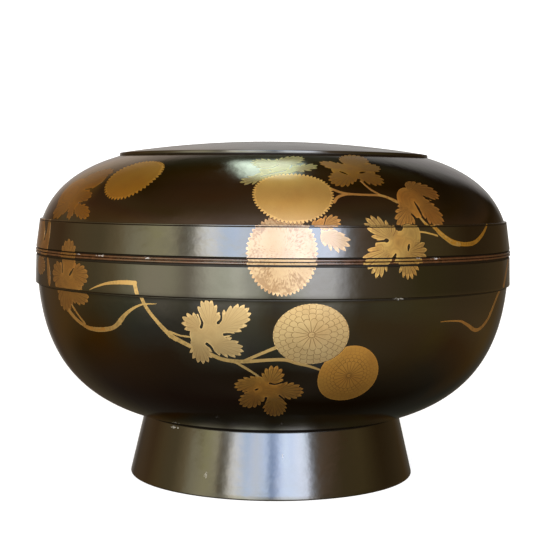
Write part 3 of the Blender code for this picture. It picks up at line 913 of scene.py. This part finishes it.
def petal_lines(add, out, turn, rows):
    """Lines of the drawn petals: rows of rounded tips, each tip at R - D (1 - sqrt(1 - t^2)) for t across a petal,
    and the straight lines between the petals of the row that lies on top."""
    lines, inner = 0.0, 0.0
    for radius, dip, petals, shift in rows:
        wave = add("Math", "MULTIPLY_ADD", turn, petals, shift)[0]
        share = add("Math", "FRACT", wave)[0]
        side = add("Math", "MULTIPLY_ADD", share, 2.0, -1.0)[0]
        square = add("Math", "MULTIPLY", side, side)[0]
        rest = add("Math", "SUBTRACT", 1.0, square)[0]
        arch = add("Math", "SQRT", rest)[0]
        tip = add("Math", "MULTIPLY_ADD", arch, dip, radius - dip)[0]
        off = add("Math", "SUBTRACT", out, tip)[0]
        near = add("Math", "ABSOLUTE", off)[0]
        ring = add("MapRange", SMOOTH, near, 0.003, 0.013, 1.0, 0.0)[0]
        # Distance to the line between two petals is about (1 - |t|) times half a petal's width there
        lean = add("Math", "ABSOLUTE", side)[0]
        gap = add("Math", "SUBTRACT", 1.0, lean)[0]
        wide = add("Math", "MULTIPLY", gap, out)[0]
        reach = add("Math", "MULTIPLY", wide, math.pi / petals)[0]
        ray = add("MapRange", SMOOTH, reach, 0.003, 0.012, 1.0, 0.0)[0]
        within = add("Math", "LESS_THAN", out, tip)[0]
        beyond = add("Math", "GREATER_THAN", out, inner)[0]
        shown = add("Math", "MULTIPLY", within, beyond)[0]
        ray = add("Math", "MULTIPLY", ray, shown)[0]
        ring = add("Math", "MULTIPLY", ring, beyond)[0]
        both = add("Math", "MAXIMUM", ray, ring)[0]
        lines = add("Math", "MAXIMUM", both, lines)[0]
        inner = tip
    return lines


def sprinkled_gold(tone, kind):
    """Sprinkled gold powder, sealed and burnished: a soft metal sheen that is grainy close up, thinner and browner
    in worn patches. A lined flower has its petals drawn in fine brown lines, a rubbed one has lost them to short
    brown dashes, a paling one turns cream towards its bottom, and a leaf has brown veins and brush streaks that fan
    out to its teeth."""
    name = f"{tone}_sprinkled_gold_{kind}"
    if name in bpy.data.materials:
        return bpy.data.materials[name]
    c = bpy.context.scene.lacquer_box_colours
    gold = getattr(c, tone)
    material, shader, add = new_material(name)
    place = add("TexCoord", {})["Object"]
    drawn = add("UVMap", {"uv_map": "drawing"})[0]
    centred = add("VectorMath", "MULTIPLY_ADD", drawn, (2, 2, 0), (-1, -1, 0))[0]
    out = add("VectorMath", "LENGTH", centred)["Value"]
    right, up, _ = add("SeparateXYZ", {}, centred)
    angle = add("Math", "ARCTAN2", up, right)[0]
    turn = add("Math", "MULTIPLY", angle, 1 / (2 * math.pi))[0]
    # Powder grains are under 0.1 mm, so they are drawn at 0.35 mm
    grain = add("TexNoise", {}, place, None, 2800.0, 2.0, 0.6)[0]
    patch = add("TexNoise", {}, place, None, 120.0, 4.0, 0.6)[0]
    mottled = add("Math", "MULTIPLY_ADD", grain, 0.35, patch)[0]
    most = {"veins": 0.5, "plain": 0.15, "paling": 0.15}.get(kind, 0.25)
    mask = add("MapRange", {}, mottled, 0.62, 0.95, 0.0, most)[0]
    rim = add("Attribute", {"attribute_name": "rim"})["Fac"]
    height = grain
    if kind == "rubbed":
        # Petal ends have worn to short brown dashes that run outwards, in patches and more towards the flower's rim
        ray_x = add("Math", "MULTIPLY", turn, 90.0)[0]
        ray_y = add("Math", "MULTIPLY", out, 11.0)[0]
        ray = add("CombineXYZ", {}, ray_x, ray_y, 0.0)[0]
        dash = add("TexNoise", {}, ray, None, 1.0, 2.0, 0.5)[0]
        area = add("TexNoise", {}, place, None, 80.0, 1.0, 0.5)[0]
        dash = add("Math", "MULTIPLY_ADD", out, 0.2, dash)[0]
        dash = add("Math", "MULTIPLY_ADD", area, 1.0, dash)[0]
        dash = add("MapRange", {}, dash, 1.09, 1.31, 0.0, 0.75)[0]
        mask = add("Math", "MAXIMUM", mask, dash)[0]
    if kind in ("faint_veins", "veins"):
        # A brown vein ends in each notch between two teeth and a fainter one in each tooth, and between them the
        # brush left streaks that fan out with them
        teeth = add("Attribute", {"attribute_name": "teeth"})["Fac"]
        strong = add("Attribute", {"attribute_name": "veins"})["Fac"]
        depth = 1.0 if kind == "veins" else 0.45
        for shift, most in ((0.0, 0.6), (0.5, 0.95)):
            across = add("Math", "ADD", teeth, shift)[0]
            off = add("Math", "PINGPONG", across, 0.5)[0]
            vein = add("MapRange", {}, off, 0.04, 0.24, most * depth, 0.0)[0]
            vein = add("Math", "MULTIPLY", vein, strong)[0]
            mask = add("Math", "MAXIMUM", mask, vein)[0]
        across = add("Math", "MULTIPLY", teeth, 2.0)[0]
        along = add("Math", "MULTIPLY", rim, 0.3)[0]
        brush = add("CombineXYZ", {}, across, along, 0.0)[0]
        brush = add("TexNoise", {}, brush, None, 1.0, 2.0, 0.5)[0]
        brush = add("MapRange", {}, brush, 0.42, 0.62, 0.0, 0.6 * depth)[0]
        mask = add("Math", "MAXIMUM", mask, brush)[0]
    if kind in PETALS:
        lines = petal_lines(add, out, turn, PETALS[kind])
        strong, faint = (1.0, 0.75) if kind == "lined" else (0.9, 0.35)
        faint = add("MapRange", {}, out, 0.5, 0.8, strong, faint)[0]
        faint = add("Math", "MULTIPLY", lines, faint)[0]
        mask = add("Math", "MAXIMUM", faint, mask)[0]
        height = add("Math", "MULTIPLY_ADD", lines, -0.8, grain)[0]
    # Copper in the powder gathers in broad patches of about 15 mm, which are redder
    copper = add("TexNoise", {}, place, None, 70.0, 1.0, 0.5)[0]
    copper = add("MapRange", {}, copper, 0.45, 0.7, 0.0, 0.9 if kind == "veins" else 0.35)[0]
    redder = (gold[0], 0.86 * gold[1], 0.75 * gold[2], 1)
    finish = add("Mix", COLOUR, copper, *SKIP, (*gold, 1), redder)[2]
    paling = add("MapRange", {}, up, -0.3, -1.0, 0.0, 0.7 if kind == "paling" else 0.0)[0]
    for share, tint in ((paling, c.cream), (mask, c.gold_worn)):
        finish = add("Mix", COLOUR, share, *SKIP, finish, (*tint, 1))[2]
    # A thin rim along the edge is a little lighter, a painted highlight where the raised edge of the gold catches the
    # light
    rim = add("MapRange", {}, rim, 0.15, 0.7, 1.35, 1.0)[0]
    finish = add("VectorMath", "SCALE", finish)[0]
    feed(finish.node, {"Scale": rim}.items())
    rough = add("MapRange", {}, grain, 0.3, 0.7, 0.48, 0.56)[0]
    bump = add("Bump", {}, 0.25, 0.00008, None, height)[0]
    # The clear lacquer that seals the powder is the coat, which shows the window faintly over the gold
    feed(shader, {"Base Color": finish, "Metallic": 1.0, "Roughness": rough, "Coat Weight": 0.6,
                  "Coat Roughness": 0.14, "Normal": bump}.items())
    return material


def flower_uv(cx, cy, a, b):
    """UV of a flower: its outline is the circle of radius 0.5 about (0.5, 0.5)."""
    return lambda x, y: np.stack([0.5 + (x - cx) / (2 * a), 0.5 + (y - cy) / (2 * b)], axis=1)


def leaf_uv(x, y):
    """UV of a leaf or stem: 50 mm a unit, with its middle at (0.5, 0.5)."""
    return np.stack([0.5 + x / 50, 0.5 + y / 50], axis=1)


# Operators

def lacquered(name, profile_of):
    """A piece turned from its profile, in polished black lacquer."""
    shape, outside = shape_now()
    lacquer = bpy.data.materials.get("polished_black_lacquer") or polished_lacquer(outside)
    return turned(name, *fine_steps(*cornered(profile_of(shape))), lacquer)


class LACQUERBOX_OT_body(bpy.types.Operator):
    """The turned body: foot ring, bowl, lower band with its bead, and the flange inside the lid."""

    bl_idname = "lacquer_box.body"
    bl_label = "Add Body"

    def execute(self, context):
        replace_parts(lacquered("body_lacquered", body_profile), "body")
        return {"FINISHED"}


class LACQUERBOX_OT_lid(bpy.types.Operator):
    """The turned lid: bead, upper band, dome and crown."""

    bl_idname = "lacquer_box.lid"
    bl_label = "Add Lid"

    def execute(self, context):
        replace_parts(lacquered("lid_lacquered", lid_profile), "lid")
        return {"FINISHED"}


class LACQUERBOX_OT_flowers(bpy.types.Operator):
    """The gold chrysanthemum flowers on lid and body, front and back."""

    bl_idname = "lacquer_box.flowers"
    bl_label = "Add Flowers"

    def execute(self, context):
        lay_gold("flower", FLOWERS, 1.0)
        return {"FINISHED"}


class LACQUERBOX_OT_leaves(bpy.types.Operator):
    """The gold leaves on lid and body, front and back."""

    bl_idname = "lacquer_box.leaves"
    bl_label = "Add Leaves"

    def execute(self, context):
        lay_gold("leaf", LEAVES, 0.7)
        return {"FINISHED"}


class LACQUERBOX_OT_stems(bpy.types.Operator):
    """The gold stems that join flowers and leaves."""

    bl_idname = "lacquer_box.stems"
    bl_label = "Add Stems"

    def execute(self, context):
        lay_gold("stem", STEMS, 0.6)
        return {"FINISHED"}


# Light by direction: for each elevation in degrees, stops of azimuth (0 in front, positive to the right) and the
# brightness there in red, green and blue, in hundredths. A wide paned window stands in front, a soft panel behind
LIGHT = {
    -60: ((-180, 3, 3, 2), (-120, 5, 3, 3), (-60, 12, 9, 7), (0, 10, 9, 6), (40, 15, 13, 10), (90, 5, 5, 4),
          (130, 0, 0, 0), (180, 3, 3, 2)),
    -40: ((-180, 5, 5, 4), (-135, 7, 5, 4), (-90, 22, 12, 6), (-60, 22, 14, 8), (-38, 40, 45, 32),
          (-20, 70, 80, 65), (-14, 50, 52, 45), (0, 35, 45, 33), (15, 55, 65, 50), (30, 75, 90, 90),
          (36, 35, 35, 28), (49, 55, 42, 22), (80, 30, 20, 8), (105, 12, 10, 6), (130, 4, 4, 3), (180, 5, 5, 4)),
    -25: ((-180, 7, 7, 5), (-140, 13, 9, 5), (-120, 16, 8, 2), (-100, 35, 13, 1), (-90, 35, 20, 6),
          (-75, 30, 35, 27), (-60, 35, 40, 34), (-42, 45, 45, 35), (-24, 80, 80, 55), (-10, 95, 95, 65),
          (0, 65, 48, 26), (14, 90, 85, 50), (30, 85, 80, 50), (42, 60, 40, 16), (75, 50, 32, 14),
          (90, 45, 30, 8), (105, 28, 14, 5), (140, 13, 7, 2), (155, 4, 4, 3), (180, 7, 7, 5)),
    -16: ((-180, 8, 7, 6), (-150, 11, 7, 4), (-123, 35, 18, 5), (-97, 35, 25, 10), (-72, 50, 55, 35),
          (-54, 140, 130, 100), (-41, 80, 80, 55), (-34, 180, 175, 160), (-22, 220, 210, 170),
          (-12, 200, 195, 160), (-4, 105, 105, 75), (1, 60, 65, 60), (8, 90, 90, 70), (17, 180, 170, 140),
          (27, 290, 280, 240), (34, 140, 130, 100), (42, 55, 50, 32), (51, 65, 60, 33), (74, 60, 48, 18),
          (101, 42, 28, 13), (140, 20, 12, 4), (155, 8, 7, 5), (180, 8, 7, 6)),
    -1.5: ((-180, 25, 24, 22), (-163, 50, 46, 42), (-150, 14, 11, 8), (-119, 36, 22, 10), (-105, 60, 40, 15),
           (-90, 75, 60, 30), (-79, 130, 100, 50), (-68, 260, 240, 150), (-62, 380, 340, 230),
           (-55, 390, 350, 240), (-47, 390, 360, 240), (-40, 240, 210, 150), (-37, 290, 260, 190),
           (-33, 480, 450, 340), (-29, 680, 660, 510), (-22, 710, 710, 550), (-16, 850, 840, 670),
           (-11, 650, 640, 520), (-5, 500, 490, 380), (0, 240, 230, 180), (5, 520, 500, 400),
           (10, 740, 730, 630), (18, 860, 840, 820), (27, 810, 800, 770), (33, 360, 350, 340),
           (36, 190, 170, 140), (41, 95, 75, 50), (50, 80, 60, 35), (71, 40, 33, 12), (97, 25, 18, 8),
           (140, 14, 9, 4), (180, 25, 24, 22)),
    10.4: ((-180, 50, 48, 46), (-163, 50, 40, 33), (-140, 15, 7, 2), (-120, 25, 12, 5), (-105, 70, 50, 25),
           (-87, 90, 70, 35), (-76, 190, 150, 80), (-69, 310, 280, 180), (-56, 430, 390, 230),
           (-47, 360, 330, 210), (-42, 240, 230, 170), (-37, 360, 340, 270), (-32, 980, 910, 720),
           (-28, 1200, 1120, 880), (-23, 920, 930, 760), (-18, 1100, 1090, 1050), (-12, 850, 870, 830),
           (-5, 650, 700, 700), (0, 280, 330, 420), (9, 1250, 1350, 1500), (17, 1300, 1420, 1550),
           (26, 1260, 1320, 1500), (30, 860, 900, 1000), (34, 310, 300, 280), (38, 140, 110, 80),
           (44, 90, 65, 40), (60, 60, 45, 20), (80, 70, 50, 20), (105, 15, 7, 2), (154, 3, 2, 1),
           (163, 50, 48, 46), (180, 50, 48, 46)),
    12.1: ((-180, 50, 48, 46), (-163, 60, 45, 35), (-140, 15, 7, 2), (-105, 70, 50, 20), (-88, 130, 95, 50),
           (-73, 160, 110, 50), (-63, 200, 170, 70), (-57, 390, 360, 160), (-48, 520, 470, 290),
           (-44, 180, 140, 90), (-41, 160, 140, 90), (-38, 420, 400, 320), (-35, 1030, 980, 860),
           (-30, 1330, 1360, 1340), (-27, 1280, 1300, 1340), (-22, 1000, 1170, 1440), (-18, 1000, 1200, 1520),
           (-12, 1100, 1200, 1340), (-5, 900, 1100, 1400), (0, 350, 480, 750), (8, 1200, 1400, 1800),
           (17, 1350, 1550, 1900), (28, 1400, 1520, 1800), (31, 1100, 1150, 1350), (33, 510, 550, 640),
           (36, 240, 240, 240), (41, 160, 110, 75), (64, 70, 40, 20), (98, 10, 5, 0), (152, 3, 2, 1),
           (160, 48, 44, 42), (180, 50, 48, 46)),
    15: ((-180, 50, 48, 46), (-168, 70, 56, 45), (-155, 66, 42, 22), (-150, 34, 16, 5), (-119, 40, 30, 15),
         (-90, 120, 100, 50), (-70, 220, 200, 110), (-48, 570, 530, 380), (-43, 290, 280, 240),
         (-39, 200, 200, 200), (-35, 520, 530, 510), (-31, 1240, 1240, 1260), (-26, 940, 1080, 1320),
         (-21, 790, 990, 1280), (-17, 980, 1110, 1390), (-13, 1050, 1140, 1280), (-5, 1020, 1220, 1620),
         (0, 430, 580, 900), (3, 520, 680, 1030), (7, 1020, 1240, 1720), (12, 1450, 1680, 2000),
         (16, 1230, 1450, 1910), (24, 1570, 1690, 1980), (29, 1250, 1430, 1650), (33, 280, 290, 320),
         (38, 120, 110, 95), (50, 85, 60, 35), (83, 70, 50, 22), (105, 30, 15, 6), (150, 3, 2, 1),
         (159, 48, 44, 42), (180, 50, 48, 46)),
    22: ((-180, 50, 46, 44), (-165, 70, 54, 40), (-150, 60, 36, 16), (-105, 50, 25, 8), (-90, 75, 45, 18),
         (-60, 150, 120, 70), (-48, 300, 260, 180), (-40, 220, 200, 160), (-35, 400, 400, 400),
         (-31, 1000, 1100, 1300), (-21, 800, 1050, 1500), (-13, 1200, 1300, 1700), (-5, 900, 1100, 1500),
         (0, 500, 700, 1000), (3, 600, 800, 1200), (8, 1200, 1400, 1900), (24, 1300, 1500, 1800),
         (30, 900, 1000, 1200), (34, 240, 230, 200), (45, 90, 65, 40), (90, 35, 18, 8), (120, 10, 6, 3),
         (150, 4, 3, 2), (159, 50, 47, 45), (180, 50, 46, 44)),
    30: ((-180, 42, 40, 38), (-165, 50, 38, 28), (-140, 50, 25, 5), (-120, 30, 12, 5), (-90, 60, 30, 10),
         (-75, 95, 50, 20), (-45, 160, 110, 65), (-15, 220, 170, 120), (15, 210, 160, 110), (42, 110, 80, 50),
         (75, 50, 30, 12), (105, 12, 6, 1), (145, 3, 2, 1), (162, 42, 40, 36), (180, 42, 40, 38)),
    36: ((-180, 15, 15, 10), (-150, 5, 3, 1), (-120, 25, 12, 5), (-90, 45, 20, 8), (-75, 60, 30, 14),
         (-60, 80, 48, 25), (-45, 150, 100, 65), (-30, 170, 115, 85), (0, 190, 135, 100), (42, 100, 80, 55),
         (50, 70, 60, 35), (90, 25, 12, 4), (120, 5, 3, 1), (165, 0, 0, 0), (180, 15, 15, 10)),
    42: ((-180, 10, 10, 5), (-150, 3, 2, 0), (-105, 35, 20, 8), (-60, 50, 30, 9), (-45, 110, 70, 38),
         (-30, 120, 80, 55), (-12, 170, 125, 95), (15, 160, 110, 80), (42, 80, 50, 28), (50, 45, 32, 18),
         (90, 30, 15, 5), (130, 4, 2, 0), (180, 10, 10, 5)),
    52: ((-180, 10, 6, 1), (-120, 10, 5, 0), (-75, 40, 20, 8), (-38, 65, 40, 18), (-17, 95, 62, 36),
         (0, 95, 62, 36), (42, 50, 30, 12), (75, 42, 22, 8), (120, 6, 2, 0), (180, 10, 6, 1)),
    66: ((-180, 25, 12, 3), (-120, 22, 10, 4), (-52, 50, 22, 8), (-20, 60, 35, 18), (60, 30, 12, 6),
         (120, 12, 6, 0), (180, 25, 12, 3)),
    90: ((-180, 40, 20, 8), (180, 40, 20, 8)),
}
BRIGHTEST = 20.0
# The skylight: a level strip over and behind the box. Its left, right, near and far edges are where its brightness
# starts and ends to fade, in x / z and y / z of the direction
SKYLIGHT = {"left": (-0.155, -0.085), "right": (0.12, 0.04), "near": (0.18, 0.38), "far": (1.14, 0.74)}
SKYLIGHT_TINT = (740, 880, 720)


def share_of_brightest(tint):
    """A brightness in hundredths as a share of the brightest, with full alpha."""
    return (*(value / 100 / BRIGHTEST for value in tint), 1)


def paint_light(world):
    """Soft panels of the studio, painted by direction: a ramp over the azimuth for each elevation, joined by
    straight mixes between one elevation and the next."""
    world.use_nodes = True
    world.node_tree.nodes.clear()
    add = functools.partial(add_node, world.node_tree)
    x, y, z = add("SeparateXYZ", {}, add("TexCoord", {})["Generated"])
    back = add("Math", "MULTIPLY", y, -1.0)[0]
    azimuth = add("Math", "ARCTAN2", x, back)[0]
    share = add("Math", "MULTIPLY_ADD", azimuth, 1 / (2 * math.pi), 0.5)[0]
    rise = add("Math", "ARCSINE", z)[0]
    elevation = add("Math", "DEGREES", rise)[0]
    light, below = None, None
    for level, stops in LIGHT.items():
        ramp = add("ValToRGB", {}, share)[0]
        band = ramp.node.color_ramp
        for index, (degrees, *tint) in enumerate(stops):
            position = (degrees + 180) / 360
            stop = band.elements[index] if index < 2 else band.elements.new(position)
            stop.position = position
            stop.color = share_of_brightest(tint)
        if light is None:
            light = ramp
        else:
            up = add("MapRange", {}, elevation, below, level, 0.0, 1.0)[0]
            light = add("Mix", COLOUR, up, *SKIP, light, ramp)[2]
        below = level
    over = add("Math", "MAXIMUM", z, 0.02)[0]
    across = add("Math", "DIVIDE", x, over)[0]
    away = add("Math", "DIVIDE", y, over)[0]
    strip = 1.0
    for side, value in (("left", across), ("right", across), ("near", away), ("far", away)):
        fade = add("MapRange", SMOOTH, value, *SKYLIGHT[side], 0.0, 1.0)[0]
        strip = add("Math", "MULTIPLY", strip, fade)[0]
    light = add("Mix", {**COLOUR, "blend_type": "ADD"}, strip, *SKIP, light, share_of_brightest(SKYLIGHT_TINT))[2]
    glow = add("Background", {}, light, BRIGHTEST)[0]
    add("OutputWorld", {}, glow)


def pale_paper():
    """White seamless paper, lit bright and even, with only a faint shade where the box stands."""
    material, shader, add = new_material("white_background_paper")
    place = add("TexCoord", {})["Object"]
    fibre = add("TexNoise", {}, place, None, 900.0, 2.0, 0.5)[0]
    tint = add("MapRange", {}, fibre, 0.3, 0.7, 0.30, 0.32)[0]
    feed(shader, {"Base Color": tint, "Roughness": 0.9, "Emission Color": (1, 1, 1, 1),
                  "Emission Strength": 0.86}.items())
    return material


# The paper sweep in metres: its flat floor, the bend up at its edge, and the heights of its wall
FLOOR, BEND, WALL, SWEEP_TURNS = 2.6, 0.6, (1.2, 2.2, 3.4), 96
# The camera as it was fitted to the round edges of the box in the photograph: mm, metres and radians
FOCAL, STAND, TILT, ROLL = 87.70, (-0.00396, -0.8361, 0.18066), 0.05873, 0.00804


def paper_sweep():
    """A surface of revolution: a flat round floor, a quarter bend of sin t across and 1 - cos t up, and a wall."""
    bend = np.linspace(0.1, 1.57, 12)
    radius = np.concatenate([np.linspace(0, FLOOR, 14)[1:], FLOOR + BEND * np.sin(bend), [FLOOR + BEND] * 3])
    height = np.concatenate([np.zeros(13), BEND * (1 - np.cos(bend)), WALL])
    points, quads = revolved(np.stack([radius, height], axis=1), SWEEP_TURNS)
    j = np.arange(SWEEP_TURNS)
    fan = np.stack([np.full(SWEEP_TURNS, len(points)), j, (j + 1) % SWEEP_TURNS], axis=1)
    mesh = bpy.data.meshes.new("paper_sweep")
    mesh.from_pydata(points.tolist() + [(0, 0, 0)], [], quads.tolist() + fan.tolist())
    mesh.polygons.foreach_set("use_smooth", np.ones(len(mesh.polygons), bool))
    mesh.materials.append(pale_paper())
    sweep = bpy.data.objects.new("paper_sweep", mesh)
    bpy.context.scene.collection.objects.link(sweep)
    sweep.visible_glossy = sweep.visible_diffuse = sweep.visible_shadow = sweep.visible_transmission = False


class LACQUERBOX_OT_stage(bpy.types.Operator):
    """The studio: paper sweep, painted soft light, and the camera at the photograph's place."""

    bl_idname = "lacquer_box.stage"
    bl_label = "Add Stage"

    def execute(self, context):
        scene = context.scene
        paper_sweep()
        scene.world = bpy.data.worlds.new("studio_light")
        paint_light(scene.world)
        scene.view_settings.view_transform = "Standard"
        lens = bpy.data.cameras.new("camera")
        lens.sensor_width = 36.0
        lens.lens = FOCAL
        lens.clip_start, lens.clip_end = 0.05, 20.0
        camera = bpy.data.objects.new("camera", lens)
        scene.collection.objects.link(camera)
        level = Matrix.Translation(STAND) @ Matrix.Rotation(math.pi / 2 - TILT, 4, "X")
        camera.matrix_world = level @ Matrix.Rotation(ROLL, 4, "Z")
        scene.camera = camera
        return {"FINISHED"}


class LACQUERBOX_PT_panel(bpy.types.Panel):
    bl_idname = "LACQUERBOX_PT_panel"
    bl_label = "Lacquer Box"
    bl_space_type = "VIEW_3D"
    bl_region_type = "UI"
    bl_category = "Lacquer Box"

    def draw(self, context):
        for operator in OPERATORS:
            self.layout.operator(operator.bl_idname)
        for group in (context.scene.lacquer_box_sizes, context.scene.lacquer_box_colours):
            column = self.layout.column(align=True)
            for key in group.bl_rna.properties.keys():
                if key not in ("rna_type", "name"):
                    column.prop(group, key)


OPERATORS = (
    LACQUERBOX_OT_body, LACQUERBOX_OT_lid, LACQUERBOX_OT_flowers, LACQUERBOX_OT_leaves, LACQUERBOX_OT_stems,
    LACQUERBOX_OT_stage,
)
CLASSES = (BoxSizes, BoxColours, *OPERATORS, LACQUERBOX_PT_panel)


def register():
    for item in CLASSES:
        bpy.utils.register_class(item)
    bpy.types.Scene.lacquer_box_sizes = bpy.props.PointerProperty(type=BoxSizes)
    bpy.types.Scene.lacquer_box_colours = bpy.props.PointerProperty(type=BoxColours)


def unregister():
    del bpy.types.Scene.lacquer_box_colours
    del bpy.types.Scene.lacquer_box_sizes
    for item in reversed(CLASSES):
        bpy.utils.unregister_class(item)


def main():
    register()
    bpy.ops.lacquer_box.body()
    bpy.ops.lacquer_box.lid()
    bpy.ops.lacquer_box.flowers()
    bpy.ops.lacquer_box.leaves()
    bpy.ops.lacquer_box.stems()
    bpy.ops.lacquer_box.stage()


if __name__ == "__main__":
    main()
